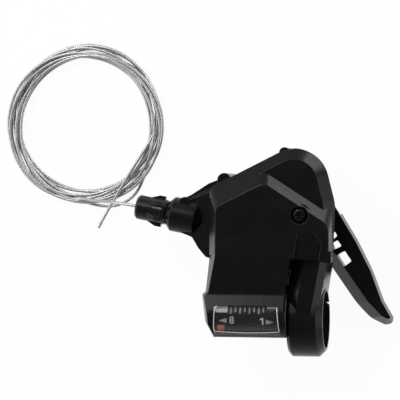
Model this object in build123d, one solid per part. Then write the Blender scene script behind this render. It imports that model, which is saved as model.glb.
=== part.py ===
from build123d import *
import math
import os

# Trigger gear shifter for a flat handlebar, in millimetres and degrees.
# Origin: on the axis of the handlebar clamp. +X along the bar to the lever side,
# +Y from the bar to the mechanism, +Z out of the cover.

# Handlebar clamp
BAR_DIAMETER = 22.2
CLAMP_LEFT = -7.3
CLAMP_RIGHT = 6.6
CLAMP_WALL = 3.3
CLAMP_CHAMFER = 2.4
CLAMP_BEVEL = 1.3
SPLIT_ANGLE = -60.0
SPLIT_WIDTH = 1.6
BOLT_DIAMETER = 4.0
BOLT_HEAD = 3.3

# Mechanism
AXLE_X = -5.0
AXLE_Y = 41.4
SCREW_PLACE = (-1.2, 40.5)
AXLE_DIAMETER = 6.0
CLICK_TEETH = 24
GEAR_STEPS = 7
SPOOL_PITCH = 10.04
SPOOL_HEIGHT = 9.8
SPOOL_FLANGE = 11.1
CABLE_DIAMETER = 1.2
CABLE_ANGLE = 11.2
CABLE_REACH = 62.67
RATCHET_CROWN = 10.9
RATCHET_DEPTH = 1.3
PAWL_RADIUS = 14.8
HOLD_ANGLE = 75.0
DRIVE_ANGLE = 135.0
LEVER_CLICKS = 3
INDICATOR_PITCH = 10.0
MESH_ANGLE = 233.7
IDLER_TEETH = 12
GEAR_MODULE = 1.0

# Thicknesses up the axle
RATCHET_THICK = 1.4
COLLAR_THICK = 0.5
PLATE_THICK = 1.4
FLOOR_THICK = 2.0
HUB_THICK = 3.5
RELEASE_THICK = 1.3
CLIP_THICK = 0.6
LOWER_THICK = 1.6

# Clearances
RUN_GAP = 0.3
FIT_GAP = 0.05
SEAT_GAP = 0.02

# Housing
WALL = 1.8
NECK_WALL = 1.3
PARTING = 5.0
RIM_HEIGHT = 13.0
DOME_TOP = 16.5
COVER_TOP = 20.0
RIM_RUN = 4.15
BODY_CORNERS = ((-37.0, 23.6), (-37.0, 50.9), (4.9, 71.9), (11.6, 45.0), (10.8, 23.6))
BODY_RADII = (0, 7.0, 13.3, 12.0, 0)
NOSE_TOP = 4.2
NOSE_SLOPE = 6.0
NOSE_STEP = 1.8
NOSE_BEVEL = 1.4
NOSE_RIDGE = (-46.9, 46.9, 25.2)
BOSS_RADIUS = 6.8
BOSS_POINT = 3.5
BOSS_START = -41.3
LUG_CENTRES = ((-32.7, 54.1), (-9.0, 64.6), (-48.3, 45.3))
LUG_RADII = (2.7, 2.1, 2.2)
SIDE_LEAN = 11.0
NECK_TOP = 25.3
NECK_ROLL = 7.0
NECK_ROLL_RUN = 1.0
VALLEY_ROUND = 3.0
DRAFT_LINE = 12.0
VALLEY_Y = 10.5
VALLEY_Z = 15.8
WINDOW_TOP = 6.2
WINDOW_ARC = 9.0
WINDOW_ARC_Y = 2.0
WINDOW_ARC_Z = 9.6
SADDLE_GAP = 0.5
TONGUE_WALL = 1.3
LENS_THICK = 1.0
WINDOW_LEFT = -34.9
WINDOW_RIGHT = -9.0
WINDOW_HIGH = 5.9
WINDOW_DEEP = -5.5
WINDOW_FLARE = 0.6

# Lever
LEVER_TOP = -11.6
LEVER_LOW = -19.0
LEVER_FLOOR = 2.5
HUB_RADIUS = 10.5

# Free cable on the table
TABLE = -20.6
COIL_CENTRE = (-94.2, 77.0)
COIL_OUTER = 34.1
COIL_INNER = 26.6
COIL_HEIGHT = 4.2

CABLE_RADIUS = CABLE_DIAMETER / 2
BAR_RADIUS = BAR_DIAMETER / 2
CLAMP_RADIUS = BAR_RADIUS + CLAMP_WALL
AXLE_RADIUS = AXLE_DIAMETER / 2
CLICK = 360 / CLICK_TEETH
SPOOL_TOP = SPOOL_HEIGHT / 2
SPOOL_LOW = -SPOOL_HEIGHT / 2
RATCHET_LOW = SPOOL_LOW - RATCHET_THICK
PLATE_TOP = RATCHET_LOW - COLLAR_THICK
PLATE_LOW = PLATE_TOP - PLATE_THICK
BASE_LOW = PLATE_LOW - FLOOR_THICK
HUB_TOP = BASE_LOW - RUN_GAP
HUB_LOW = HUB_TOP - HUB_THICK
RELEASE_TOP = HUB_LOW - RUN_GAP
RELEASE_LOW = RELEASE_TOP - RELEASE_THICK
CLIP_LOW = RELEASE_LOW - CLIP_THICK - SEAT_GAP
LOWER_TOP = CLIP_LOW - RUN_GAP
LOWER_LOW = LOWER_TOP - LOWER_THICK
IDLER_RADIUS = IDLER_TEETH * GEAR_MODULE / 2
SECTOR_TEETH = round(2 * INDICATOR_PITCH / GEAR_MODULE)
SECTOR_THICK = 1.7
SECTOR_LOW = SPOOL_TOP + 0.8
SECTOR_TOP = SECTOR_LOW + SECTOR_THICK
RACK_LOW = SECTOR_TOP + 0.9
RACK_TOP = RACK_LOW + 1.5
AXLE_TOP = COVER_TOP - 6.5
SCREW_HEAD_LOW = RACK_TOP + 0.4
SADDLE_RADIUS = BAR_RADIUS + SADDLE_GAP
TONGUE_RADIUS = SADDLE_RADIUS + TONGUE_WALL
ARM_LOW = TONGUE_RADIUS + 0.15
ARM_TOP = ARM_LOW + 1.0

turn = math.radians(CABLE_ANGLE)
CABLE_OUT = (-math.cos(turn), math.sin(turn), 0)
TANGENT = (AXLE_X - SPOOL_PITCH * math.sin(turn), AXLE_Y - SPOOL_PITCH * math.cos(turn), 0)
CABLE_LINE = Plane(origin=TANGENT, x_dir=(0, 0, 1), z_dir=CABLE_OUT)
TO_AXLE = Pos(AXLE_X, AXLE_Y, 0)
TO_SCREW = Pos(*SCREW_PLACE, 0)

# Smaller sizes that several pieces share
BASE_SPREAD = 0.4
PIN_RADIUS = 1.4
STEM_RADIUS = 2.45
FINS = 6
FIN_WIDTH = 1.8
KNOB_RADIUS = 6.1
KNOB_LOW = CABLE_REACH - 10.8
BOSS_END = KNOB_LOW - 1.6
STEM_END = BOSS_END - 9.6
SCREW_RADIUS = 1.5
HEAD_RADIUS = 1.5
HEAD_LENGTH = 3.2
HEAD_START = HEAD_LENGTH / 2
HEAD_REACH = math.hypot(SPOOL_PITCH + HEAD_RADIUS, HEAD_START)
INSERT_RADIUS = 3.0
EAR_RADIUS = 15.7
ARM_ROOF = CLAMP_RADIUS - 0.2
ARM_DROP = 2.4
ARM_CHAMFER = 1.9
PAWL_FACE = 33.4
BACKLASH = 0.3
ADDENDUM = 0.7
DEDENDUM = 1.15
SECTOR_COUNT = round(GEAR_STEPS * SECTOR_TEETH / CLICK_TEETH) + 3
SPRING_OUTER = 9.0
SPRING_HEIGHT = 1.8
SCALE_RADIUS = 7.1
SCALE_THICK = 0.6
SCALE_TOP = 5.9
MARKER_X = -32.0
MARKER_Y = -2.6
MARKER_LENGTH = 2.2
MARKER_TOP = MARKER_Y + MARKER_LENGTH / 2
RACK_LEFT = -34.6
RACK_RIGHT = -10.6
RACK_BACK = AXLE_Y - AXLE_RADIUS - 0.5
BRACKET_SCREW_X = (-2.6, 3.2)
BRACKET_SCREW_Z = -3.0
SCREW_CENTRES = (LUG_CENTRES[0], LUG_CENTRES[1], (-33.2, 27.6))
mesh = math.radians(MESH_ANGLE)
mesh_reach = INDICATOR_PITCH + IDLER_RADIUS
IDLER_CENTRE = (AXLE_X + mesh_reach * math.cos(mesh), AXLE_Y + mesh_reach * math.sin(mesh))
NOSE_POINTS = ((-36.0, 23.2), (-40.2, 24.0), (-43.4, 27.8), (-45.8, 31.8), (-50.5, 33.6), (-52.6, 40.0),
               (-52.2, 45.9), (-46.4, 48.2), (-39.2, 52.8), (-36.0, 54.0))
NOSE_RADII = (0, 2, 4, 2, 3, 3, 2, 3, 2, 0)
# Lever sides from the axle: a point, the heading and how far the side leans in by the top
LEVER_SIDES = (
    (17.65, -3.9, -59.0, 0.3),
    (25.0, -17.1, -63.3, 0.3),
    (30.2, -29.2, -70.0, 0.3),
    (33.8, -37.5, -60.0, 0.3),
    (36.0, -41.9, -105.0, 0.9),
    (34.3, -44.1, -165.0, 2.4),
    (29.9, -43.1, 154.7, 3.2),
    (24.2, -38.8, 134.0, 4.4),
    (16.2, -28.4, 124.7, 4.8),
    (5.0, -9.4, 60.0, 0.0),
)
LEVER_RADII = (0, 60.0, 60.0, 20.0, 1.5, 1.5, 3.0, 12.0, 40.0, 0)
LEVER_HOLES = (
    ((14.3, -16.8), (17.5, -15.1), (20.2, -19.1), (17.1, -21.4)),
    ((12.5, -12.1), (14.6, -10.9), (16.3, -13.2), (12.9, -14.8)),
    ((12.0, -9.7), (13.5, -7.2), (14.5, -9.2), (13.2, -10.4)),
)
LEAD_POINTS = (
    tuple(at + (CABLE_REACH + 0.6) * way for at, way in zip(TANGENT, CABLE_OUT)),
    tuple(at + (CABLE_REACH + 8.0) * way for at, way in zip(TANGENT, CABLE_OUT)),
    (-86.0, 45.8, -10.0),
    (-97.0, 47.0, -18.4),
)
TAIL_POINTS = ((-66.3, 71.5, -18.0), (-72.5, 61.5, -15.7), (-80.5, 48.5, -15.7), (-88.3, 36.6, -19.2))
split = math.radians(SPLIT_ANGLE)
CLAMP_FRAME = Plane(origin=(0, 0, 0), x_dir=(1, 0, 0), z_dir=(0, -math.sin(split), math.cos(split)))


def prism(sketch, low, high):
    """A plan sketch raised between two heights."""
    return Pos(0, 0, low) * extrude(sketch, high - low)


def ring(radius, bore, low, high):
    """A round washer or tube about the origin's Z axis."""
    return prism(Circle(radius) - Circle(bore), low, high)


def disc(radius, low, high, place=(0, 0)):
    return Pos(place[0], place[1], 0) * prism(Circle(radius), low, high)


def polar(radius, angle):
    return (radius * math.cos(math.radians(angle)), radius * math.sin(math.radians(angle)))


def shifted(side, amount):
    """A plan line (x, y, heading) moved to its right, which is inwards on a clockwise outline."""
    x, y, heading = side[:3]
    lean = math.radians(heading)
    return (x + amount * math.sin(lean), y - amount * math.cos(lean), heading)


def meeting(first, second):
    """The point where two plan lines cross."""
    ax, ay, a = first
    bx, by, b = second
    a = math.radians(a)
    b = math.radians(b)
    reach = (math.sin(b) * (bx - ax) - math.cos(b) * (by - ay)) / math.sin(b - a)
    return (ax + reach * math.cos(a), ay + reach * math.sin(a))


def outline_of(sides, insets):
    lines = [shifted(side, inset) for side, inset in zip(sides, insets)]
    return [meeting(lines[i - 1], lines[i]) for i in range(len(lines))]


def frustum(sides, low, high, inset=0.0):
    """A block whose sides (x, y, heading, run) lean inwards by their run between two heights."""
    base = outline_of(sides, [inset for side in sides])
    top = outline_of(sides, [inset + side[3] for side in sides])
    floor = make_face(Polyline(*base, close=True))
    roof = make_face(Polyline(*top, close=True))
    return loft([Pos(0, 0, low) * floor, Pos(0, 0, high) * roof], ruled=True)


def upright_edges(block):
    return block.edges().filter_by(lambda edge: edge.bounding_box().size.Z > 1.0)


def side_prism(profile, start, end):
    """A profile in Y and Z carried along X."""
    return Pos(start, 0, 0) * extrude(Plane.YZ * profile, end - start)


def along_cable(shape, distance=0.0):
    return CABLE_LINE * Pos(0, 0, distance) * shape


def body_outline(inset=0.0):
    face = make_face(FilletPolyline(*BODY_CORNERS, radius=BODY_RADII, close=True))
    if inset:
        face = offset(face, -inset, kind=Kind.INTERSECTION)
    return face


def leaning(inset=0.0):
    """The room under the body outline once the lever's side leans in below the rim."""
    drop = RIM_HEIGHT - LOWER_LOW + WALL
    lean = math.radians(SIDE_LEAN)
    start = Pos(-drop * math.tan(lean), 0, RIM_HEIGHT - drop) * body_outline(inset)
    return extrude(start, 2 * drop / math.cos(lean), dir=(math.sin(lean), 0, math.cos(lean)))


# Top cover
RIM_SLOPE = RIM_RUN / (DOME_TOP - RIM_HEIGHT)
PLATE_RISE = COVER_TOP - RIM_HEIGHT
PLATE_SIDES = (
    (-37.0, 30.0, 90.0, 3.4),
    (-37.0, 50.9, math.degrees(math.atan2(21.0, 41.9)), RIM_SLOPE * PLATE_RISE),
    (-9.3, 57.5, -32.9, PLATE_RISE),
    (10.8, 30.0, -90.0, 0.9),
    (0.0, NECK_TOP, 180.0, 0.0),
)
PEAK_ROUND = 7.0
PLATE_ROUND = 4.0
NECK_INSIDE = 31.0
NECK_SIDES = (
    (-37.0, NECK_TOP, 83.5, 3.4),
    (0.0, NECK_TOP + 0.2, 0.0, 0.0),
    (CLAMP_LEFT - 0.2, VALLEY_Y, -100.7, 0.0),
    (CLAMP_LEFT - 0.2, VALLEY_Y / 2, -90.0, 0.0),
    (0.0, -6.4, 180.0, 0.0),
    (-36.4, -4.8, 119.0, 1.9),
    (-38.8, -0.5, 96.6, 2.6),
    (-40.0, 9.8, 45.0, 2.6),
)


def dome_form(inset):
    """The body outline up to the dome floor, with the sloped rim."""
    form = prism(body_outline(inset), PARTING - inset, DOME_TOP - inset)
    roof = form.faces().sort_by(Axis.Z)[-1]
    rim = roof.edges().filter_by(lambda edge: edge.center().Y > NECK_TOP)
    return chamfer(rim, RIM_RUN, DOME_TOP - RIM_HEIGHT, reference=roof) & leaning(inset)


def plate_form(inset):
    """The raised five-sided plate over the dome."""
    form = frustum(PLATE_SIDES, RIM_HEIGHT - inset, COVER_TOP - inset, inset)
    if inset == 0:
        form = fillet(upright_edges(form).sort_by(Axis.Y)[-3:-1], PLATE_ROUND)
        form = fillet(upright_edges(form).sort_by(Axis.Y)[-1], PEAK_ROUND)
        roof = form.faces().sort_by(Axis.Z)[-1]
        form = fillet(roof.edges().filter_by(lambda edge: edge.center().Y > NECK_TOP + WALL / 2), 0.5)
    return form


def neck_profile():
    """Side view of the neck and the window housing, reaching down past the bar."""
    crest = WINDOW_ARC_Z + math.sqrt(WINDOW_ARC**2 - (WINDOW_TOP - WINDOW_ARC_Y) ** 2)
    lip = (WINDOW_ARC_Y - 8.4, WINDOW_ARC_Z + math.sqrt(WINDOW_ARC**2 - 8.4**2))
    bend = (WINDOW_ARC_Y + WINDOW_ARC * math.cos(2.0), WINDOW_ARC_Z + WINDOW_ARC * math.sin(2.0))
    end = NECK_INSIDE + WALL
    roll = (NECK_TOP - NECK_ROLL_RUN, COVER_TOP)
    back = FilletPolyline((end, COVER_TOP), roll, (VALLEY_Y, VALLEY_Z), (WINDOW_TOP, crest),
                          radius=(NECK_ROLL, VALLEY_ROUND))
    front = ThreePointArc((WINDOW_TOP, crest), bend, lip)
    under = Polyline(lip, (lip[0], -12.0), (end, -12.0), (end, COVER_TOP))
    return make_face([back, front, under])


def neck_block(low, inset=0.0):
    """The neck's plan, upright below the draft line and leaning in above it."""
    sides = list(NECK_SIDES)
    if inset:
        sides[1] = (0.0, NECK_INSIDE, 0.0, 0.0)
    outline = outline_of(sides, [inset for side in sides])
    upright = prism(make_face(Polyline(*outline, close=True)), low, DRAFT_LINE)
    return upright + frustum(sides, DRAFT_LINE, COVER_TOP, inset)


def neck_form(inset):
    profile = neck_profile()
    if inset:
        profile = offset(profile, -inset, kind=Kind.INTERSECTION)
    return neck_block(-2 * inset, inset) & side_prism(profile, -60, 10)


def bar_hole(radius):
    return Rot(0, 90, 0) * Cylinder(radius, 200)


def screw_seat():
    """Room for the cover screw's head and shank."""
    head = disc(3.4, COVER_TOP - 2.6, COVER_TOP + 5)
    return TO_SCREW * (head + disc(SCREW_RADIUS + 0.2, AXLE_TOP - 2, COVER_TOP))


def window_opening(inset):
    """The opening for the lens in the window housing."""
    top = ((WINDOW_LEFT + WINDOW_FLARE, WINDOW_HIGH), (WINDOW_RIGHT - WINDOW_FLARE, WINDOW_HIGH))
    low = ((WINDOW_RIGHT, WINDOW_DEEP), (WINDOW_LEFT, WINDOW_DEEP))
    face = make_face(FilletPolyline(*top, *low, radius=0.8, close=True))
    if inset:
        face = offset(face, -inset)
    return prism(face, DRAFT_LINE - 4, COVER_TOP)


def top_cover():
    edge = Polyline((-5.0, 24.4), (3.8, 24.0), (8.4, 22.5), (10.8, 22.5), (10.8, 27), (-5.0, 27), close=True)
    lip = prism(make_face(edge), CLAMP_RADIUS, COVER_TOP)
    cover = dome_form(0) + plate_form(0) + neck_form(0) + lip
    inside = dome_form(WALL) + plate_form(WALL) + neck_form(NECK_WALL)
    inside += TO_AXLE * disc(SPOOL_FLANGE + 0.4, PARTING - 1, SECTOR_TOP + 0.5)
    cover -= inside
    cover += TO_SCREW * ring(4.4, SCREW_RADIUS, AXLE_TOP + SEAT_GAP, COVER_TOP - WALL / 2)
    cover -= screw_seat()
    cover -= bar_hole(SADDLE_RADIUS)
    cover -= side_prism(Circle(CLAMP_RADIUS + RUN_GAP / 2), CLAMP_LEFT - FIT_GAP, CLAMP_RIGHT)
    cover -= Pos(-20, 10, -9) * Box(60, 60, 20)
    cover -= Pos(-20, 33.2, 0) * Box(60, 20, 2 * PARTING)
    cover -= prism(offset(arm_plan(), RUN_GAP, kind=Kind.INTERSECTION), -2 * PARTING, CLAMP_RADIUS - 0.1)
    cover -= window_opening(0)
    facet = make_face(Polyline((-2.0, 34.2), (4.1, 34.2), (7.1, 29.7), (5.6, 20), (-4.0, 20), close=True))
    slope = make_face(Polyline((34.2, COVER_TOP), (20, COVER_TOP - 2.0), (20, 30), (34.2, 30), close=True))
    cover -= prism(facet, 10, 30) & side_prism(slope, -10, 12)
    return cover


# Window
def window_shell(outer, inner, cut):
    """A curved strip under the window's arc, between two radii."""
    strip = Circle(outer) - Circle(inner)
    return side_prism(Pos(WINDOW_ARC_Y, WINDOW_ARC_Z) * strip, -45, 0) & cut


def window_lens():
    return window_shell(WINDOW_ARC, WINDOW_ARC - LENS_THICK, window_opening(FIT_GAP))


def scale_plate():
    """The printed dial under the lens, above the track that the marker runs in."""
    low = MARKER_TOP + RUN_GAP
    middle = (WINDOW_LEFT + WINDOW_RIGHT) / 2
    room = Pos(middle, (low + SCALE_TOP) / 2, 14) * Box(WINDOW_RIGHT - WINDOW_LEFT, SCALE_TOP - low, 12)
    return window_shell(SCALE_RADIUS, SCALE_RADIUS - SCALE_THICK, room)


# Base housing
def nose_form():
    """The low block at the cable side, with a bevelled step down to a flange along its upper edge."""
    plan = make_face(FilletPolyline(*NOSE_POINTS, radius=NOSE_RADII, close=True))
    reach = 30.0
    drop = reach * math.tan(math.radians(NOSE_SLOPE))
    wall = BODY_CORNERS[0][0] - FIT_GAP
    above = Polyline((wall, NOSE_TOP), (wall - reach, NOSE_TOP - drop), (wall - reach, 40), (wall, 40),
                     close=True)
    form = prism(plan, BASE_LOW, NOSE_TOP) - extrude(Plane.XZ * make_face(above), 80, both=True)
    heading = math.radians(NOSE_RIDGE[2])
    ridge = Plane(origin=(*NOSE_RIDGE[:2], NOSE_TOP), x_dir=(-math.sin(heading), math.cos(heading), 0),
                  z_dir=(math.cos(heading), math.sin(heading), 0))
    step = Polyline((0, -NOSE_STEP), (reach, -NOSE_STEP), (reach, reach), (-NOSE_BEVEL, reach),
                    (-NOSE_BEVEL, 0), close=True)
    form -= extrude(ridge * make_face(step), reach, both=True)
    return form - Pos(wall + 9.4, 18.6, 5) * Box(20, 14, 40)


def boss_form():
    """The adjuster's round seat, pointed where it runs into the nose."""
    start = (TANGENT[0] - BOSS_START) / math.cos(turn)
    neck = BOSS_RADIUS - 2.4
    profile = Polyline((0, start), (BOSS_POINT, start), (BOSS_RADIUS, start + BOSS_POINT),
                       (BOSS_RADIUS, BOSS_END - 2.4), (neck, BOSS_END), (0, BOSS_END), close=True)
    return along_cable(revolve(Plane.XZ * make_face(profile), Axis.Z))


def tongue_form():
    """The saddle that reaches under the neck and closes it over the bar."""
    lower = ThreePointArc((SADDLE_RADIUS, 0), polar(SADDLE_RADIUS, 60), polar(SADDLE_RADIUS, 116))
    upper = ThreePointArc(polar(TONGUE_RADIUS, 116), polar(TONGUE_RADIUS, 60), polar(TONGUE_RADIUS, 10))
    shelf = polar(TONGUE_RADIUS, 10)[1]
    tip = Line(polar(SADDLE_RADIUS, 116), polar(TONGUE_RADIUS, 116))
    top = Line(polar(TONGUE_RADIUS, 10), (24.5, shelf))
    close = Polyline((24.5, shelf), (24.5, 0), (SADDLE_RADIUS, 0))
    profile = make_face([lower, tip, upper, top, close])
    return side_prism(profile, -60, 0) & neck_block(-5, NECK_WALL + 0.2)


def pin_slot(angle, travel, width):
    return SlotArc(CenterArc((0, 0), PAWL_RADIUS, angle, travel), width)


def base_housing():
    base = prism(body_outline(-BASE_SPREAD), BASE_LOW, PARTING) & leaning(-BASE_SPREAD)
    base += nose_form() + boss_form()
    for centre, radius in zip(LUG_CENTRES, LUG_RADII):
        base += disc(radius, BASE_LOW, PARTING, centre)
    base -= prism(body_outline(WALL), PLATE_LOW, PARTING + 1) & leaning(WALL)
    base -= TO_AXLE * disc(SPOOL_FLANGE + 0.4, PLATE_TOP, PARTING + 1)
    base -= TO_AXLE * disc(HEAD_REACH + RUN_GAP, -HEAD_RADIUS - RUN_GAP, HEAD_RADIUS + RUN_GAP)
    base += tongue_form()
    base -= TO_AXLE * disc(AXLE_RADIUS + FIT_GAP, BASE_LOW - 1, PLATE_LOW + 1)
    slot = pin_slot(DRIVE_ANGLE, LEVER_CLICKS * CLICK, 2 * (PIN_RADIUS + RUN_GAP))
    base -= TO_AXLE * prism(slot, BASE_LOW - 1, PLATE_LOW + 1)
    base -= along_cable(extrude(Circle(CABLE_RADIUS + RUN_GAP), BOSS_END - 10), 8)
    base -= along_cable(extrude(Circle(STEM_RADIUS + FIT_GAP), BOSS_END - STEM_END + 1), STEM_END - 0.5)
    base -= along_cable(extrude(Circle(KNOB_RADIUS + RUN_GAP), CABLE_REACH - BOSS_END), BOSS_END + RUN_GAP)
    for x in BRACKET_SCREW_X:
        base -= Pos(x, 24, BRACKET_SCREW_Z) * Rot(90, 0, 0) * Cylinder(1.6, 6)
    for centre in SCREW_CENTRES:
        base -= disc(1.1 + SEAT_GAP, BASE_LOW - 1, BASE_LOW + 5, centre)
    return base


def lower_cover():
    """The tray under the base, open on the lever's side."""
    tray = prism(body_outline(), LOWER_LOW, BASE_LOW) & leaning()
    tray -= prism(body_outline(WALL), LOWER_TOP, BASE_LOW + 1) & leaning(WALL)
    for centre, radius in zip(SCREW_CENTRES, (LUG_RADII[0], LUG_RADII[1], 3.0)):
        tray += disc(radius, LOWER_LOW, BASE_LOW, centre)
    rays = [polar(60, angle) for angle in (-116, -60, 0, 60)]
    sweep = make_face(Polyline((0, 0), *rays, close=True))
    tray -= TO_AXLE * (prism(sweep, LOWER_LOW - 1, BASE_LOW) - disc(15.0, LOWER_LOW - 2, LOWER_TOP))
    for centre in SCREW_CENTRES:
        tray -= disc(1.2, LOWER_LOW - 1, BASE_LOW + 1, centre)
        tray -= disc(2.1, LOWER_LOW - 1, LOWER_LOW + 1.5, centre)
    return tray


def base_plate():
    plate = prism(body_outline(WALL + RUN_GAP), PLATE_LOW, PLATE_TOP) & leaning(WALL + RUN_GAP)
    plate -= Pos(-38, 40, PLATE_LOW) * Box(20, 80, 10)
    slot = pin_slot(DRIVE_ANGLE, LEVER_CLICKS * CLICK, 2 * (PIN_RADIUS + RUN_GAP))
    plate -= TO_AXLE * prism(slot, PLATE_LOW - 1, PLATE_TOP + 1)
    plate -= TO_AXLE * disc(AXLE_RADIUS + SEAT_GAP, PLATE_LOW - 1, PLATE_TOP + 1)
    post = polar(PAWL_RADIUS, HOLD_ANGLE)
    plate -= TO_AXLE * disc(PIN_RADIUS + SEAT_GAP, PLATE_LOW - 1, PLATE_TOP + 1, post)
    return plate - disc(PIN_RADIUS + SEAT_GAP, PLATE_LOW - 1, PLATE_TOP + 1, IDLER_CENTRE)


def main_axle():
    axle = disc(AXLE_RADIUS, CLIP_LOW - 0.2, AXLE_TOP)
    axle += disc(AXLE_RADIUS + 1.6, PLATE_TOP, RATCHET_LOW - FIT_GAP)
    head = math.dist(SCREW_PLACE, (AXLE_X, AXLE_Y)) + SCREW_RADIUS + 0.8
    axle += disc(head, SCREW_HEAD_LOW, AXLE_TOP)
    axle -= ring(AXLE_RADIUS + 1, AXLE_RADIUS - 0.6, CLIP_LOW, RELEASE_LOW - SEAT_GAP)
    return TO_AXLE * axle - TO_SCREW * disc(SCREW_RADIUS + SEAT_GAP, SCREW_HEAD_LOW - 1, AXLE_TOP + 1)


def axle_clip():
    """The open spring ring in the axle's groove."""
    bore = AXLE_RADIUS - 0.6 + SEAT_GAP
    clip = ring(AXLE_RADIUS + 2.2, bore, CLIP_LOW + SEAT_GAP, RELEASE_LOW - 2 * SEAT_GAP)
    return TO_AXLE * (clip - Pos(0, -4, RELEASE_LOW) * Box(4.0, 8, 4))


def cover_screw():
    """Round-headed screw with a cross recess."""
    seat = COVER_TOP - 2.6
    head = fillet(disc(2.6, seat, seat + 2.0).faces().sort_by(Axis.Z)[-1].edges(), 0.8)
    cross = Pos(0, 0, seat + 1.7) * (Box(3.4, 0.9, 1.8) + Box(0.9, 3.4, 1.8))
    return TO_SCREW * (head - cross + disc(SCREW_RADIUS, SCREW_HEAD_LOW + 0.3, seat))


def lower_screw(centre):
    head = disc(2.0, LOWER_LOW + 0.2, LOWER_LOW + 1.5, centre)
    slot = Pos(centre[0], centre[1], LOWER_LOW + 0.2) * (Box(2.8, 0.7, 1.4) + Box(0.7, 2.8, 1.4))
    return head - slot + disc(1.1, LOWER_LOW + 1.5, BASE_LOW + 4, centre)


# Handlebar clamp
# Arm sides: a point, the heading and how far the side leans in over the bevel
ARM_SIDES = (
    (CLAMP_LEFT + 0.1, 0.0, 90.0, 4.6),
    (CLAMP_LEFT + 0.1, VALLEY_Y, 79.3, 4.6),
    (0.0, NECK_TOP + 5, 0.0, 0.0),
    (CLAMP_RIGHT - 0.1, BAR_RADIUS + 1, -100.4, 2.6),
    (0.0, 0.0, 180.0, 0.0),
)


def arm_plan():
    """The bracket's arm seen from above, along the neck on its left."""
    return make_face(Polyline(*outline_of(ARM_SIDES, [0 for side in ARM_SIDES]), close=True))


def clamp_bracket():
    edge = CLAMP_RADIUS - CLAMP_CHAMFER
    section = Polyline((CLAMP_LEFT, 0), (CLAMP_LEFT, CLAMP_RADIUS - CLAMP_BEVEL),
                       (CLAMP_LEFT + CLAMP_BEVEL, CLAMP_RADIUS), (CLAMP_RIGHT - CLAMP_CHAMFER, CLAMP_RADIUS),
                       (CLAMP_RIGHT, edge), (CLAMP_RIGHT, 0), close=True)
    band = revolve(make_face(section), Axis.X)
    wall = BODY_CORNERS[0][1] - BASE_SPREAD - FIT_GAP
    side = Polyline((2, CLAMP_RADIUS), (26.4, CLAMP_RADIUS), (26.4, PARTING + 0.1),
                    (wall, PARTING + 0.1), (wall, BASE_LOW + 0.1), (2, -CLAMP_RADIUS + 0.4), close=True)
    block = prism(arm_plan(), -30, ARM_ROOF - ARM_DROP) + frustum(ARM_SIDES, ARM_ROOF - ARM_DROP, ARM_ROOF)
    arm = side_prism(make_face(side), -12, 14) & block
    low_edges = arm.edges().filter_by(lambda line: line.center().Z < 0 and line.bounding_box().size.Y > 7)
    arm = chamfer(low_edges.filter_by(lambda line: line.bounding_box().size.X < 4), ARM_CHAMFER)
    ear = CLAMP_FRAME * Pos(0, EAR_RADIUS, -5) * extrude(RectangleRounded(10.0, 7.4, 2.0), 13)
    bracket = band + arm + ear
    bracket -= CLAMP_FRAME * Pos(0, EAR_RADIUS + 1, 0) * Box(40, 13, SPLIT_WIDTH)
    bracket -= CLAMP_FRAME * Pos(0, EAR_RADIUS, -6) * extrude(Circle(BOLT_DIAMETER / 2 + 0.15), 14)
    bracket -= CLAMP_FRAME * Pos(0, EAR_RADIUS, 1.5) * extrude(Circle(INSERT_RADIUS + SEAT_GAP), 6.5)
    bracket -= CLAMP_FRAME * Pos(0, EAR_RADIUS, -9) * extrude(Circle(BOLT_HEAD + RUN_GAP), 4)
    for x in BRACKET_SCREW_X:
        bracket -= Pos(x, 18, BRACKET_SCREW_Z) * Rot(90, 0, 0) * Cylinder(1.5 + SEAT_GAP, 20)
    return bracket - bar_hole(BAR_RADIUS)


def clamp_bolt():
    shank = extrude(Circle(BOLT_DIAMETER / 2), 12.4)
    head = Pos(0, 0, -3) * (extrude(Circle(BOLT_HEAD), 3) - extrude(RegularPolygon(1.7, 6), 2))
    return CLAMP_FRAME * Pos(0, EAR_RADIUS, -5) * (shank + head)


def clamp_insert():
    tube = extrude(Circle(INSERT_RADIUS) - Circle(BOLT_DIAMETER / 2 + SEAT_GAP), 6)
    return CLAMP_FRAME * Pos(0, EAR_RADIUS, 1.7) * tube


def bracket_screw(x):
    inner = BODY_CORNERS[0][1] + WALL
    head = Pos(0, 0, -1.8) * (extrude(Circle(2.4), 1.8) - extrude(RegularPolygon(1.2, 6), 1.1))
    screw = head + extrude(Circle(1.5), 14)
    return Pos(x, inner, BRACKET_SCREW_Z) * Rot(90, 0, 0) * screw


# Spool and ratchet
def flank(teeth, radius):
    """Half the angle of an involute tooth at a radius, in degrees."""
    pitch = teeth * GEAR_MODULE / 2
    push = math.radians(20)
    lean = math.acos(min(1.0, pitch * math.cos(push) / radius))
    half = (math.pi * GEAR_MODULE / 2 - BACKLASH) / (2 * pitch)
    return math.degrees(half + math.tan(push) - push - math.tan(lean) + lean)


def gear_outline(teeth, first_angle, count):
    """Tooth points going counter-clockwise from the first tooth's middle."""
    pitch = teeth * GEAR_MODULE / 2
    root = pitch - DEDENDUM
    start = max(root, pitch * math.cos(math.radians(20)))
    tip = pitch + ADDENDUM
    radii = [start + (tip - start) * step / 4 for step in range(5)]
    points = []
    for tooth in range(count):
        middle = first_angle + tooth * 360 / teeth
        points.append(polar(root, middle - flank(teeth, start)))
        points += [polar(r, middle - flank(teeth, r)) for r in radii]
        points += [polar(r, middle + flank(teeth, r)) for r in reversed(radii)]
        points.append(polar(root, middle + flank(teeth, start)))
    return points


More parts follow.
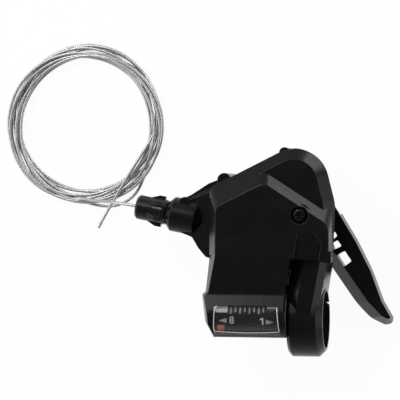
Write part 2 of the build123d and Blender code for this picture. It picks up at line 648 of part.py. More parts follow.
def cable_spool():
    groove = SPOOL_PITCH - CABLE_RADIUS - RUN_GAP
    bore = AXLE_RADIUS + FIT_GAP
    section = Polyline((bore, SPOOL_LOW), (SPOOL_FLANGE, SPOOL_LOW), (SPOOL_FLANGE, -1.9), (groove, -0.9),
                       (groove, 0.9), (SPOOL_FLANGE, 1.9), (SPOOL_FLANGE, SPOOL_TOP), (8.0, SPOOL_TOP),
                       (8.0, SECTOR_TOP), (bore, SECTOR_TOP), close=True)
    spool = revolve(Plane.XZ * make_face(section), Axis.Z)
    span = (SECTOR_COUNT - 2) * 360 / SECTOR_TEETH
    teeth = gear_outline(SECTOR_TEETH, MESH_ANGLE - span, SECTOR_COUNT)
    spool += prism(make_face(Polyline((0, 0), *teeth, close=True)), SECTOR_LOW, SECTOR_TOP)
    spool -= disc(bore, SPOOL_LOW - 1, SECTOR_TOP + 1)
    pocket = extrude(Circle(HEAD_RADIUS + FIT_GAP), -HEAD_LENGTH - 2 * FIT_GAP)
    return TO_AXLE * spool - along_cable(pocket, HEAD_START + FIT_GAP)


def ratchet_wheel():
    root = RATCHET_CROWN - RATCHET_DEPTH
    points = []
    for tooth in range(CLICK_TEETH):
        face = HOLD_ANGLE + PAWL_FACE + tooth * CLICK
        points += [polar(root, face), polar(RATCHET_CROWN, face), polar(RATCHET_CROWN, face + 3)]
    wheel = make_face(Polyline(*points, close=True)) - Circle(AXLE_RADIUS + FIT_GAP)
    for hole in range(6):
        wheel -= Pos(*polar(7.2, 60 * hole)) * Circle(1.5)
    return TO_AXLE * prism(wheel, RATCHET_LOW, SPOOL_LOW)


def cable_head():
    return along_cable(extrude(Circle(HEAD_RADIUS), -HEAD_LENGTH), HEAD_START)


def pawl(angle):
    """A pawl at rest, its nose a hair outside the ratchet's crowns."""
    tip = RATCHET_CROWN + 0.15
    nose = [polar(tip, 33), polar(tip + 2.25, 31), polar(PAWL_RADIUS + 2.4, 4), polar(PAWL_RADIUS - 2.4, 6),
            polar(tip + 1.15, 22)]
    boss = Pos(PAWL_RADIUS, 0) * Circle(2.5)
    shape = make_face(Polyline(*nose, close=True)) + boss
    shape -= Pos(PAWL_RADIUS, 0) * Circle(PIN_RADIUS + FIT_GAP)
    return TO_AXLE * Rot(0, 0, angle) * prism(shape, RATCHET_LOW, SPOOL_LOW - 0.1)


def pawl_pin(angle, low, high):
    """A shouldered pin: its collar carries the pawl."""
    place = polar(PAWL_RADIUS, angle)
    collar = disc(2.3, PLATE_TOP + 0.1, RATCHET_LOW - 0.1, place)
    return TO_AXLE * (disc(PIN_RADIUS, low, high, place) + collar)


def square_coil(radius, wire, pitch, turns):
    """A coil spring of square wire standing on the origin."""
    path = Helix(pitch=pitch, height=pitch * turns, radius=radius)
    section = Plane(origin=path @ 0, z_dir=path % 0) * Rectangle(wire, wire)
    return sweep(section, path=path, is_frenet=True)


def pawl_spring(angle):
    place = polar(PAWL_RADIUS, angle)
    return TO_AXLE * Pos(place[0], place[1], SPOOL_LOW + 0.3) * square_coil(PIN_RADIUS + 0.5, 0.5, 0.8, 3)


# Trigger lever and release lever
def trigger_lever():
    plan = outline_of(LEVER_SIDES, [0.0 for side in LEVER_SIDES])
    rounded = make_face(FilletPolyline(*plan, radius=LEVER_RADII, close=True))
    wing = frustum(LEVER_SIDES, LEVER_LOW, LEVER_TOP) & prism(rounded, LEVER_LOW, LEVER_TOP)
    wing -= disc(15.6, LEVER_LOW - 1, HUB_LOW)
    wing -= disc(14.6, HUB_LOW - 5, HUB_TOP + 5)
    pocket = outline_of([LEVER_SIDES[i] for i in (1, 5, 8, 9)], [2.2, 9.0, LEVER_SIDES[8][3] + 0.8, 0.0])
    wing -= prism(make_face(Polyline(*pocket, close=True)), LEVER_LOW - 1, LEVER_TOP - LEVER_FLOOR)
    top = outline_of(LEVER_SIDES, [side[3] for side in LEVER_SIDES])
    hub = disc(HUB_RADIUS, HUB_LOW, HUB_TOP) + prism(make_face(Polyline((0, 0), top[0], top[-1], close=True)),
                                                     HUB_LOW, LEVER_TOP)
    hub += prism(make_face(Polyline(*top, close=True)), HUB_LOW, LEVER_TOP) & disc(17.0, HUB_LOW, LEVER_TOP)
    for hole in LEVER_HOLES:
        window = prism(make_face(FilletPolyline(*hole, radius=0.5, close=True)), LEVER_LOW - 1, LEVER_TOP + 1)
        wing -= window
        hub -= window
    ear = polar(PAWL_RADIUS, DRIVE_ANGLE)
    hub += disc(3.0, HUB_LOW, HUB_TOP, ear)
    hub += Rot(0, 0, DRIVE_ANGLE) * Pos(PAWL_RADIUS / 2, 0, HUB_LOW) * Box(
        PAWL_RADIUS, 6.0, HUB_THICK, align=(Align.CENTER, Align.CENTER, Align.MIN))
    lever = wing + hub
    groove = HUB_TOP - SPRING_HEIGHT - 0.2
    lever -= ring(SPRING_OUTER + 0.5, AXLE_RADIUS + 1.4, groove, HUB_TOP + 1)
    lever -= disc(PIN_RADIUS + SEAT_GAP, HUB_LOW - 1, HUB_TOP + 1, ear)
    return TO_AXLE * (lever - disc(AXLE_RADIUS + FIT_GAP, HUB_LOW - 1, HUB_TOP + 1))


def lever_spring():
    """A flat spiral in the lever hub's groove."""
    step = 0.8
    arcs = []
    for half in range(5):
        radius = AXLE_RADIUS + 2.2 + step * half
        arcs.append(CenterArc((step * (half % 2), 0), radius, 180 * (half % 2), 180))
    return TO_AXLE * prism(trace(arcs, 0.5), BASE_LOW - SPRING_HEIGHT, BASE_LOW)


def release_lever():
    hub = ring(6.5, AXLE_RADIUS + FIT_GAP, RELEASE_LOW, RELEASE_TOP)
    arm = Polyline((-4.0, -4.0), (-2.5, -20.5), (2.5, -20.5), (4.0, -4.0), close=True)
    lever = hub + prism(make_face(arm), RELEASE_LOW, RELEASE_TOP)
    pad = Pos(0.3, -21.8, 0) * prism(RectangleRounded(6.4, 4.2, 1.6), LEVER_LOW, BASE_LOW - 2.4)
    lever += fillet(pad.faces().sort_by(Axis.Z)[0].edges(), 0.8)
    return TO_AXLE * (lever - disc(AXLE_RADIUS + FIT_GAP, RELEASE_LOW - 1, RELEASE_TOP + 1))


# Gear indicator
def idler_gear():
    teeth = gear_outline(IDLER_TEETH, MESH_ANGLE - 180 + 180 / IDLER_TEETH, IDLER_TEETH)
    gear = make_face(Polyline(*teeth, close=True)) - Circle(PIN_RADIUS + FIT_GAP)
    return Pos(*IDLER_CENTRE) * prism(gear, SECTOR_LOW, RACK_TOP)


def idler_pin():
    shoulder = disc(2.6, PLATE_TOP, SECTOR_LOW - 0.1, IDLER_CENTRE)
    return shoulder + disc(PIN_RADIUS, PLATE_LOW, RACK_TOP + 0.6, IDLER_CENTRE)


def indicator_slider():
    """The rack, its riser and the arm that carries the marker under the window."""
    line = IDLER_CENTRE[1] + IDLER_RADIUS
    tooth_angle = MESH_ANGLE - 180 + 180 / IDLER_TEETH + 360 / IDLER_TEETH
    first_gap = IDLER_CENTRE[0] - IDLER_RADIUS * math.radians(tooth_angle - 90)
    pitch = math.pi * GEAR_MODULE
    half = pitch / 4 - BACKLASH / 4
    lean = math.tan(math.radians(20))
    bar = Polyline((RACK_LEFT, line + DEDENDUM), (RACK_RIGHT, line + DEDENDUM), (RACK_RIGHT, RACK_BACK),
                   (RACK_LEFT, RACK_BACK), close=True)
    rack = make_face(bar)
    for tooth in range(8):
        middle = first_gap + pitch / 2 - pitch * tooth
        wide = half + lean * DEDENDUM
        narrow = half - lean * ADDENDUM
        root = line + DEDENDUM + 0.1
        crest = line - ADDENDUM
        tooth_form = Polyline((middle - wide, root), (middle - narrow, crest), (middle + narrow, crest),
                              (middle + wide, root), close=True)
        rack += make_face(tooth_form)
    room = Pos((RACK_LEFT + RACK_RIGHT) / 2, line, 0) * Box(RACK_RIGHT - RACK_LEFT, 20, 60)
    slider = prism(rack, RACK_LOW, RACK_TOP) & room
    low = Align.CENTER, Align.MAX, Align.MIN
    rise = ARM_TOP - RACK_LOW
    slider += Pos(MARKER_X, RACK_BACK, RACK_LOW) * Box(3.0, RACK_BACK - line - DEDENDUM, rise, align=low)
    arm = Box(2.6, RACK_BACK - MARKER_TOP, ARM_TOP - ARM_LOW, align=low)
    return slider + Pos(MARKER_X, RACK_BACK, ARM_LOW) * arm


def indicator_marker():
    standing = (Align.CENTER, Align.CENTER, Align.MIN)
    block = Pos(MARKER_X, MARKER_Y, ARM_LOW) * Box(2.6, MARKER_LENGTH, 6, align=standing)
    room = Pos(WINDOW_ARC_Y, WINDOW_ARC_Z) * Circle(WINDOW_ARC - LENS_THICK - 0.25)
    return block & side_prism(room, -45, 0)


# Barrel adjuster
def barrel_adjuster():
    near = KNOB_LOW
    skirt = BOSS_END + RUN_GAP + 0.1
    section = Polyline((STEM_RADIUS + SEAT_GAP, near + 3.4), (4.2, near + 3.4), (4.2, skirt), (4.9, skirt),
                       (5.0, near), (4.8, CABLE_REACH - 7), (4.8, CABLE_REACH - 0.8), (4.1, CABLE_REACH),
                       (2.7, CABLE_REACH), (2.7, CABLE_REACH - 5), (STEM_RADIUS + SEAT_GAP, CABLE_REACH - 5),
                       close=True)
    knob = revolve(Plane.XZ * make_face(section), Axis.Z)
    fin = Polyline((4.5, near), (KNOB_RADIUS, near), (KNOB_RADIUS, near + 2.4), (4.5, CABLE_REACH - 4.6), close=True)
    blade = extrude(Plane.XZ * make_face(fin), FIN_WIDTH / 2, both=True)
    for turn_by in range(FINS):
        knob += Rot(0, 0, 360 / FINS * (turn_by + 0.5)) * blade
    return along_cable(knob)


def adjuster_stem():
    tube = Circle(STEM_RADIUS) - Circle(CABLE_RADIUS + RUN_GAP)
    return along_cable(extrude(tube, CABLE_REACH - 5.1 - STEM_END), STEM_END)


def adjuster_spring():
    return along_cable(square_coil(3.4, 0.7, 1.25, 3), BOSS_END + 0.4)


# Cable
def tube_along(points, radii):
    path = FilletPolyline(*points, radius=radii)
    section = Plane(origin=path @ 0, z_dir=path % 0) * Circle(CABLE_RADIUS)
    return sweep(section, path=path)


def corner_radii(points):
    """The widest bends that leave a little straight run between them."""
    radii = []
    for before, corner, after in zip(points, points[1:], points[2:]):
        first = Vector(*corner) - Vector(*before)
        second = Vector(*after) - Vector(*corner)
        bend = math.radians(first.get_angle(second))
        radii.append(0.45 * min(first.length, second.length) / math.tan(bend / 2))
    return radii


def inner_cable():
    return along_cable(extrude(Circle(CABLE_RADIUS), CABLE_REACH + 0.6 - HEAD_START), HEAD_START)


def cable_coil():
    middle = (COIL_OUTER + COIL_INNER) / 2
    section = RectangleRounded(COIL_OUTER - COIL_INNER, COIL_HEIGHT, COIL_HEIGHT / 2 - 0.1)
    section = Plane.XZ * (Pos(middle, TABLE + COIL_HEIGHT / 2) * section)
    return Pos(COIL_CENTRE[0], COIL_CENTRE[1], 0) * revolve(section, Axis.Z)


def cable_tip():
    last = Vector(*TAIL_POINTS[-1])
    direction = last - Vector(*TAIL_POINTS[-2])
    return Plane(origin=last, z_dir=direction) * extrude(Circle(CABLE_RADIUS + 0.25), 1.8)


PARTS = {
    "top_cover": top_cover(),
    "window_lens": window_lens(),
    "scale_plate": scale_plate(),
    "base_housing": base_housing(),
    "lower_cover": lower_cover(),
    "base_plate": base_plate(),
    "main_axle": main_axle(),
    "axle_clip": axle_clip(),
    "cover_screw": cover_screw(),
    "clamp_bracket": clamp_bracket(),
    "clamp_bolt": clamp_bolt(),
    "clamp_insert": clamp_insert(),
    "cable_spool": cable_spool(),
    "ratchet_wheel": ratchet_wheel(),
    "cable_head": cable_head(),
    "hold_pawl": pawl(HOLD_ANGLE),
    "hold_pawl_post": pawl_pin(HOLD_ANGLE, PLATE_LOW, SPOOL_LOW + 3),
    "hold_pawl_spring": pawl_spring(HOLD_ANGLE),
    "drive_pawl": pawl(DRIVE_ANGLE),
    "drive_pawl_pin": pawl_pin(DRIVE_ANGLE, HUB_LOW, SPOOL_LOW + 3),
    "drive_pawl_spring": pawl_spring(DRIVE_ANGLE),
    "trigger_lever": trigger_lever(),
    "lever_spring": lever_spring(),
    "release_lever": release_lever(),
    "idler_gear": idler_gear(),
    "idler_pin": idler_pin(),
    "indicator_slider": indicator_slider(),
    "indicator_marker": indicator_marker(),
    "barrel_adjuster": barrel_adjuster(),
    "adjuster_stem": adjuster_stem(),
    "adjuster_spring": adjuster_spring(),
    "inner_cable": inner_cable(),
    "cable_lead": tube_along(LEAD_POINTS, corner_radii(LEAD_POINTS)),
    "cable_coil": cable_coil(),
    "cable_tail": tube_along(TAIL_POINTS, corner_radii(TAIL_POINTS)),
    "cable_tip": cable_tip(),
}
for count, centre in enumerate(SCREW_CENTRES, 1):
    PARTS[f"lower_screw_{count}"] = lower_screw(centre)
for count, x in enumerate(BRACKET_SCREW_X, 1):
    PARTS[f"bracket_screw_{count}"] = bracket_screw(x)
print("bend radii", corner_radii(LEAD_POINTS), corner_radii(TAIL_POINTS))
os.makedirs("parts", exist_ok=True)
for name, part in PARTS.items():
    export_step(part, f"parts/{name}.step")
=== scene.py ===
import math

import bmesh
import bpy
from mathutils import Matrix, Vector


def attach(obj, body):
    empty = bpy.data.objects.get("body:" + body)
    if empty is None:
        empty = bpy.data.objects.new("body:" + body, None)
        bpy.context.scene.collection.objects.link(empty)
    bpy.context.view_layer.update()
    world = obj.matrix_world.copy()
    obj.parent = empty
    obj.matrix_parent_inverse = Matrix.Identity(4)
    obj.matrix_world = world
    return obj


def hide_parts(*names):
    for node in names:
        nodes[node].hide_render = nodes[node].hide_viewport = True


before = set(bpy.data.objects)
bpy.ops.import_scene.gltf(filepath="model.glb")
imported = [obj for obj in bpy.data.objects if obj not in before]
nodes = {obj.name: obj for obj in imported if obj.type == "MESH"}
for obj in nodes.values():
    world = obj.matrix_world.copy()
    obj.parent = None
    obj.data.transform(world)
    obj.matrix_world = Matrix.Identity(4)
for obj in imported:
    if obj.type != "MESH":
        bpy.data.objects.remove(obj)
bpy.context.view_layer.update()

MM = 0.001

# Camera of the photograph, in millimetres
CAMERA_TARGET = (-41.65, 46.29, 7.96)
CAMERA_PLACE = (91.92, 46.29, 695.1)
CAMERA_LENS = 162.35
CAMERA_NEAR = 10.0
SENSOR = 36.0

# Table and window in millimetres, as in the solids. The window's axis lies along X, at DIAL_MIDDLE in Y and Z
TABLE = -20.6
DIAL_MIDDLE = (2.0, 9.6)
DIAL_RADIUS = 7.1
LENS_RADIUS = 9.0
PRINT_AND_PAINT_LIFT = 0.03
PRINT_AND_PAINT_ROW = 0.25

# Free cable: its length in metres, the rest in millimetres and degrees
CABLE_RADIUS = 0.6
COIL_MIDDLE = (-94.2, 77.0)
COIL_TURNS = 10
COIL_POINTS = 24
COIL_MEAN = 29.9
COIL_SWELL = 0.7
COIL_STRAY = 2.2
COIL_PILE = 2.8
COIL_CLEAR = 0.05
LOOSE_TURN = 8
LOOSE_REACH = 36.4
LOOSE_BEARING = 297.0
LOOSE_SPREAD = 26
LEAD_ROUTE = ((-69.01, 43.84, 0.0), (-76.27, 45.28, 0.0), (-86.0, 45.8, -10.0), (-97.0, 47.0, -18.4))
TAIL_ROUTE = ((-66.3, 71.5, -18.0), (-72.5, 61.5, -15.7), (-80.5, 48.5, -15.7), (-88.3, 36.6, -19.2))

# How fast swell, stray and pile change, in radians a turn, so that no two turns lie alike
SWELL_PACE = 1.7
STRAY_PACE = 2.4
PILE_PACE = 2.1
PILE_START = 0.3


def metres(point):
    return Vector(point) * MM


# Material nodes
NOISE_RANGE = (0.3, 0.7)
TONE_RANGE = (0.35, 0.65)
FACE_TURN = 0.985
EDGE_TURN = 0.85
# How far the edge colour goes over to the lighter one, which is part wear and part painted highlight
MOST_EDGE_LIGHTENING = 0.6
STRAND_SCALE = (1570.0, 7.54, 1.0)


def new_material(name):
    """A new material, with its node tree and its Principled shader."""
    material = bpy.data.materials.new(name)
    material.use_nodes = True
    tree = material.node_tree
    shader = next(node for node in tree.nodes if node.type == "BSDF_PRINCIPLED")
    return material, tree, shader


def noise(tree, scale, detail=2.0):
    """Noise in the object's own space, its scale in features per millimetre."""
    place = tree.nodes.new("ShaderNodeTexCoord")
    cloud = tree.nodes.new("ShaderNodeTexNoise")
    cloud.inputs["Scale"].default_value = scale / MM
    cloud.inputs["Detail"].default_value = detail
    tree.links.new(place.outputs["Object"], cloud.inputs["Vector"])
    return cloud.outputs["Fac"]


def mapped(tree, value, start, end, low, high):
    """A value carried from one range to another, and held at its ends."""
    scale = tree.nodes.new("ShaderNodeMapRange")
    scale.inputs["From Min"].default_value = start
    scale.inputs["From Max"].default_value = end
    scale.inputs["To Min"].default_value = low
    scale.inputs["To Max"].default_value = high
    tree.links.new(value, scale.inputs["Value"])
    return scale.outputs["Result"]


def spread(tree, value, low, high):
    """Noise carried to a range."""
    return mapped(tree, value, *NOISE_RANGE, low, high)


def ramped(tree, value, places, colours):
    """A value turned into a blend of two colours."""
    ramp = tree.nodes.new("ShaderNodeValToRGB")
    for stop, place, colour in zip(ramp.color_ramp.elements, places, colours):
        stop.position = place
        stop.color = (*colour, 1.0)
    tree.links.new(value, ramp.inputs["Fac"])
    return ramp.outputs["Color"]


def two_tone(tree, value, dark, light):
    return ramped(tree, value, TONE_RANGE, (dark, light))


def rounded_edges(tree, radius):
    """Normals as if every edge had a small radius in millimetres, and how much they turn from the face's own."""
    rounding = tree.nodes.new("ShaderNodeBevel")
    rounding.samples = 8
    rounding.inputs["Radius"].default_value = radius * MM
    face = tree.nodes.new("ShaderNodeNewGeometry")
    turn = tree.nodes.new("ShaderNodeVectorMath")
    turn.operation = "DOT_PRODUCT"
    tree.links.new(rounding.outputs["Normal"], turn.inputs[0])
    tree.links.new(face.outputs["Normal"], turn.inputs[1])
    return rounding.outputs["Normal"], turn.outputs["Value"]


def grained(tree, height, depth, strength, normal=None):
    """A bump of a given depth in millimetres."""
    bump = tree.nodes.new("ShaderNodeBump")
    bump.inputs["Distance"].default_value = depth * MM
    bump.inputs["Strength"].default_value = strength
    tree.links.new(height, bump.inputs["Height"])
    if normal:
        tree.links.new(normal, bump.inputs["Normal"])
    return bump.outputs["Normal"]


def lightened_edges(tree, colour, turn, wear_and_highlight):
    """A colour that goes over to a lighter one along the edges, as wear and as a painted highlight on the edge
    lines.
    """
    mix = tree.nodes.new("ShaderNodeMix")
    mix.data_type = "RGBA"
    # Lighter along edges and creases: wear, and a painted highlight on the edge lines
    tree.links.new(mapped(tree, turn, FACE_TURN, EDGE_TURN, 0.0, MOST_EDGE_LIGHTENING), mix.inputs["Factor"])
    tree.links.new(colour, mix.inputs["A"])
    mix.inputs["B"].default_value = (*wear_and_highlight, 1.0)
    return mix.outputs["Result"]


def moulded(name, dark, light, rough, gloss=0.5, depth=0.012, edge=0.0, wear_and_highlight=None):
    """Moulded plastic, print or painted light: a fine grain, a faint cloudiness in colour and gloss, edges
    lighter as wear and as a painted edge highlight.
    """
    material, tree, shader = new_material(name)
    shader.inputs["Specular IOR Level"].default_value = gloss
    colour = two_tone(tree, noise(tree, 0.12, 3.0), dark, light)
    normal = None
    if edge:
        normal, turn = rounded_edges(tree, edge)
        # Edges painted lighter: partly wear, partly a painted highlight
        colour = lightened_edges(tree, colour, turn, wear_and_highlight)
    tree.links.new(colour, shader.inputs["Base Color"])
    tree.links.new(spread(tree, noise(tree, 0.5, 4.0), rough - 0.03, rough + 0.04), shader.inputs["Roughness"])
    tree.links.new(grained(tree, noise(tree, 5.0, 2.0), depth, 0.5, normal), shader.inputs["Normal"])
    return material


def metal(name, dark, light, rough, edge=0.0):
    """Plated or turned metal with a fine texture."""
    material, tree, shader = new_material(name)
    shader.inputs["Metallic"].default_value = 1.0
    colour = two_tone(tree, noise(tree, 0.7, 4.0), dark, light)
    tree.links.new(colour, shader.inputs["Base Color"])
    tree.links.new(spread(tree, noise(tree, 2.0, 3.0), rough - 0.05, rough + 0.07), shader.inputs["Roughness"])
    normal = rounded_edges(tree, edge)[0] if edge else None
    tree.links.new(grained(tree, noise(tree, 4.0, 2.0), 0.006, 0.4, normal), shader.inputs["Normal"])
    return material


def stranded(name):
    """Twisted steel strands, drawn as fine slanted ridges along the cable, with painted shade in the grooves
    between them.
    """
    material, tree, shader = new_material(name)
    shader.inputs["Metallic"].default_value = 0.8
    place = tree.nodes.new("ShaderNodeTexCoord")
    stretch = tree.nodes.new("ShaderNodeMapping")
    stretch.inputs["Scale"].default_value = STRAND_SCALE
    wave = tree.nodes.new("ShaderNodeTexWave")
    wave.bands_direction = "DIAGONAL"
    wave.inputs["Scale"].default_value = 1.0
    tree.links.new(place.outputs["UV"], stretch.inputs["Vector"])
    tree.links.new(stretch.outputs["Vector"], wave.inputs["Vector"])
    ridges = wave.outputs["Fac"]
    # Grooves between the strands darker than their crests: painted shade
    colour = two_tone(tree, ridges, (0.33, 0.33, 0.33), (0.52, 0.52, 0.51))
    tree.links.new(colour, shader.inputs["Base Color"])
    tree.links.new(spread(tree, noise(tree, 1.2, 3.0), 0.32, 0.40), shader.inputs["Roughness"])
    tree.links.new(grained(tree, ridges, 0.05, 0.2), shader.inputs["Normal"])
    return material


def clear_plastic(name):
    """The polished window, with a trace of unevenness in its tint and gloss."""
    material, tree, shader = new_material(name)
    shader.inputs["Transmission Weight"].default_value = 1.0
    shader.inputs["IOR"].default_value = 1.49
    shader.inputs["Specular IOR Level"].default_value = 0.2
    tint = two_tone(tree, noise(tree, 0.1, 2.0), (0.93, 0.94, 0.95), (0.97, 0.98, 0.98))
    tree.links.new(tint, shader.inputs["Base Color"])
    tree.links.new(spread(tree, noise(tree, 0.1, 2.0), 0.05, 0.08), shader.inputs["Roughness"])
    return material


BLACK_TONES = ((0.0040, 0.0040, 0.0042), (0.0058, 0.0058, 0.0060))
# Bump depth for the print and for the lens's painted highlight and reflection band
PRINT_AND_PAINT_DEPTH = 0.004

# The lighter edge colour on the black plastic and the knob is wear and painted highlight
black = moulded("black_plastic", *BLACK_TONES, rough=0.25, gloss=0.17, edge=0.3, wear_and_highlight=(0.034, 0.034, 0.035))
knob_black = moulded("knob_plastic", *BLACK_TONES, rough=0.22, gloss=0.3, depth=0.005, edge=0.15,
                     wear_and_highlight=(0.026, 0.026, 0.027))
dial_black = moulded("dial_print_black", (0.005, 0.005, 0.005), (0.008, 0.008, 0.008), 0.35, 0.3, PRINT_AND_PAINT_DEPTH)
print_white = moulded("print_white", (0.80, 0.80, 0.80), (0.88, 0.88, 0.88), 0.5, 0.2, PRINT_AND_PAINT_DEPTH)
print_grey = moulded("print_grey", (0.44, 0.44, 0.44), (0.52, 0.52, 0.52), 0.5, 0.2, PRINT_AND_PAINT_DEPTH)
# White line on the lens's edge: a painted highlight
edge_highlight_white = moulded("window_edge_highlight", (0.62, 0.63, 0.64), (0.72, 0.73, 0.74), 0.3, 0.5, PRINT_AND_PAINT_DEPTH)
# Grey band over the lower end of the lens: a painted reflection
reflection_band_grey = moulded("window_reflection_band", (0.035, 0.035, 0.036), (0.048, 0.048, 0.049), 0.3, 0.3, PRINT_AND_PAINT_DEPTH)
marker_red = moulded("marker_red", (0.86, 0.20, 0.16), (0.93, 0.24, 0.19), rough=0.42, gloss=0.4, depth=0.006)
nylon = moulded("nylon_white", (0.70, 0.70, 0.66), (0.80, 0.80, 0.76), rough=0.5)
plated = metal("plated_steel", (0.50, 0.50, 0.48), (0.66, 0.66, 0.63), rough=0.34)
spring_steel = metal("spring_steel", (0.34, 0.34, 0.34), (0.55, 0.55, 0.54), rough=0.3)
# Black oxide on the screws; on the adjuster stem and spring the same dark finish is painted shade
black_oxide_and_shade = metal("black_oxide_and_shade", (0.014, 0.014, 0.015), (0.030, 0.030, 0.031), rough=0.3, edge=0.2)
turned = metal("turned_metal", (0.55, 0.55, 0.55), (0.74, 0.74, 0.74), rough=0.28)
cable_steel = stranded("cable_strands")
lens_clear = clear_plastic("window_clear")

FINISHES = {
    black: ("top_cover", "base_housing", "lower_cover", "clamp_bracket", "trigger_lever", "release_lever"),
    knob_black: ("barrel_adjuster",),
    lens_clear: ("window_lens",),
    dial_black: ("scale_plate",),
    marker_red: ("indicator_marker",),
    nylon: ("cable_spool", "idler_gear", "indicator_slider"),
    plated: ("base_plate", "ratchet_wheel", "hold_pawl", "drive_pawl", "main_axle", "axle_clip", "hold_pawl_post",
             "drive_pawl_pin", "idler_pin", "clamp_insert", "cable_head"),
    spring_steel: ("hold_pawl_spring", "drive_pawl_spring", "lever_spring", "inner_cable"),
    # The adjuster stem and spring are made dark as painted shade behind the knob; the screws are black oxide
    black_oxide_and_shade: ("cover_screw", "lower_screw_1", "lower_screw_2", "lower_screw_3", "clamp_bolt",
                  "bracket_screw_1", "bracket_screw_2", "adjuster_stem", "adjuster_spring"),
    turned: ("cable_tip",),
    cable_steel: ("cable_lead", "cable_coil", "cable_tail"),
}
for material, names in FINISHES.items():
    for name in names:
        nodes[name].data.materials.clear()
        nodes[name].data.materials.append(material)


# Free cable
def bearing_of(point):
    """The direction of a point from the coil's middle, in degrees."""
    return math.degrees(math.atan2(point[1] - COIL_MIDDLE[1], point[0] - COIL_MIDDLE[0]))


def coil_route():
    """Loose turns going clockwise from the lead's end, each about its own middle, ending at the tail."""
    first = bearing_of(LEAD_ROUTE[-1])
    last = bearing_of(TAIL_ROUTE[0])
    sweep = 360 * COIL_TURNS + (first - last) % 360
    steps = round(sweep / 360 * COIL_POINTS)
    points = []
    for step in range(1, steps):
        turn = sweep * step / steps / 360
        angle = math.radians(first - 360 * turn)
        ease = min(1.0, 2 * turn, 2 * (sweep / 360 - turn))
        stray = COIL_STRAY * ease
        lean = STRAY_PACE * turn
        radius = COIL_MEAN + COIL_SWELL * math.sin(SWELL_PACE * turn)
        # One strand of one turn bulges out of the bundle
        loose = 0.0
        if LOOSE_TURN <= turn < LOOSE_TURN + 1:
            bearing = math.degrees(angle) % 360
            loose = math.exp(-((bearing - LOOSE_BEARING) / LOOSE_SPREAD) ** 2)
        stray *= 1 - loose
        radius += (LOOSE_REACH - radius) * loose
        x = COIL_MIDDLE[0] + stray * math.cos(lean) + radius * math.cos(angle)
        y = COIL_MIDDLE[1] + stray * math.sin(lean) + radius * math.sin(angle)
        pile = COIL_PILE * (0.5 - 0.5 * math.cos(PILE_PACE * turn + PILE_START)) * ease
        points.append((x, y, TABLE + CABLE_RADIUS + COIL_CLEAR + pile))
    return points


def cable_curve(name, route):
    """A round cable along a route in millimetres."""
    curve = bpy.data.curves.new(name, "CURVE")
    curve.dimensions = "3D"
    curve.bevel_depth = CABLE_RADIUS * MM
    curve.bevel_resolution = 3
    curve.resolution_u = 6
    curve.use_fill_caps = True
    spline = curve.splines.new("NURBS")
    spline.points.add(len(route) - 1)
    for point, place in zip(spline.points, route):
        point.co = (*metres(place), 1.0)
    spline.order_u = 3
    spline.use_endpoint_u = True
    curve.materials.append(cable_steel)
    cable = bpy.data.objects.new(name, curve)
    bpy.context.collection.objects.link(cable)
    return cable


cable = cable_curve("free_cable", [*LEAD_ROUTE, *coil_route(), *TAIL_ROUTE])
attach(cable, "housing")
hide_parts("cable_lead", "cable_coil", "cable_tail")


# Print on the dial, and a painted highlight line and painted reflection band on the lens
def on_curve(x, y, radius):
    """A plan point in millimetres carried up to just above the window's curve, in metres."""
    rise = math.sqrt((radius + PRINT_AND_PAINT_LIFT) ** 2 - (y - DIAL_MIDDLE[0]) ** 2)
    return metres((x, y, DIAL_MIDDLE[1] + rise))


def laid(name, flat, material, radius=DIAL_RADIUS):
    """A flat plan mesh in millimetres, cut into narrow rows and laid on the window's curve as a thin piece."""
    form = bmesh.new()
    form.from_mesh(flat)
    low = min(vertex.co.y for vertex in form.verts)
    high = max(vertex.co.y for vertex in form.verts)
    for row in range(1, math.ceil((high - low) / PRINT_AND_PAINT_ROW)):
        everything = [*form.verts, *form.edges, *form.faces]
        bmesh.ops.bisect_plane(form, geom=everything, plane_co=(0, low + row * PRINT_AND_PAINT_ROW, 0), plane_no=(0, 1, 0))
    for vertex in form.verts:
        vertex.co = on_curve(vertex.co.x, vertex.co.y, radius)
    bmesh.ops.recalc_face_normals(form, faces=form.faces)
    mesh = bpy.data.meshes.new(name)
    form.to_mesh(mesh)
    form.free()
    mesh.materials.append(material)
    piece = bpy.data.objects.new(name, mesh)
    bpy.context.collection.objects.link(piece)
    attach(piece, "housing")


def plan_mesh(name, faces):
    """Plan polygons as one flat mesh."""
    mesh = bpy.data.meshes.new(name + "_plan")
    points = [(*point, 0.0) for face in faces for point in face]
    corners = []
    for face in faces:
        start = sum(map(len, corners))
        corners.append(tuple(range(start, start + len(face))))
    mesh.from_pydata(points, [], corners)
    return mesh


def box(left, right, low, high):
    return ((left, low), (right, low), (right, high), (left, high))


def ribbon(route, width):
    """A line of even width along plan points, as a row of four-sided faces."""
    places = [Vector(point) for point in route]
    sides = []
    for i, place in enumerate(places):
        way = (places[min(i + 1, len(places) - 1)] - places[max(i - 1, 0)]).normalized()
        across = Vector((-way.y, way.x)) * width / 2
        sides.append((tuple(place + across), tuple(place - across)))
    return [(a[0], b[0], b[1], a[1]) for a, b in zip(sides, sides[1:])]


def digit(name, text, middle, height):
    """The flat outline of a number, upright in the photograph."""
    words = bpy.data.curves.new(name, "FONT")
    words.body = text
    words.align_x = "CENTER"
    words.align_y = "CENTER"
    words.resolution_u = 4
    source = bpy.data.objects.new(name + "_source", words)
    flat = bpy.data.meshes.new_from_object(source)
    bpy.data.objects.remove(source)
    tall = max(vertex.co.y for vertex in flat.vertices) - min(vertex.co.y for vertex in flat.vertices)
    for vertex in flat.vertices:
        vertex.co = (middle[0] + vertex.co.x * height / tall, middle[1] + vertex.co.y * height / tall, 0.0)
    flat.materials.clear()
    return flat


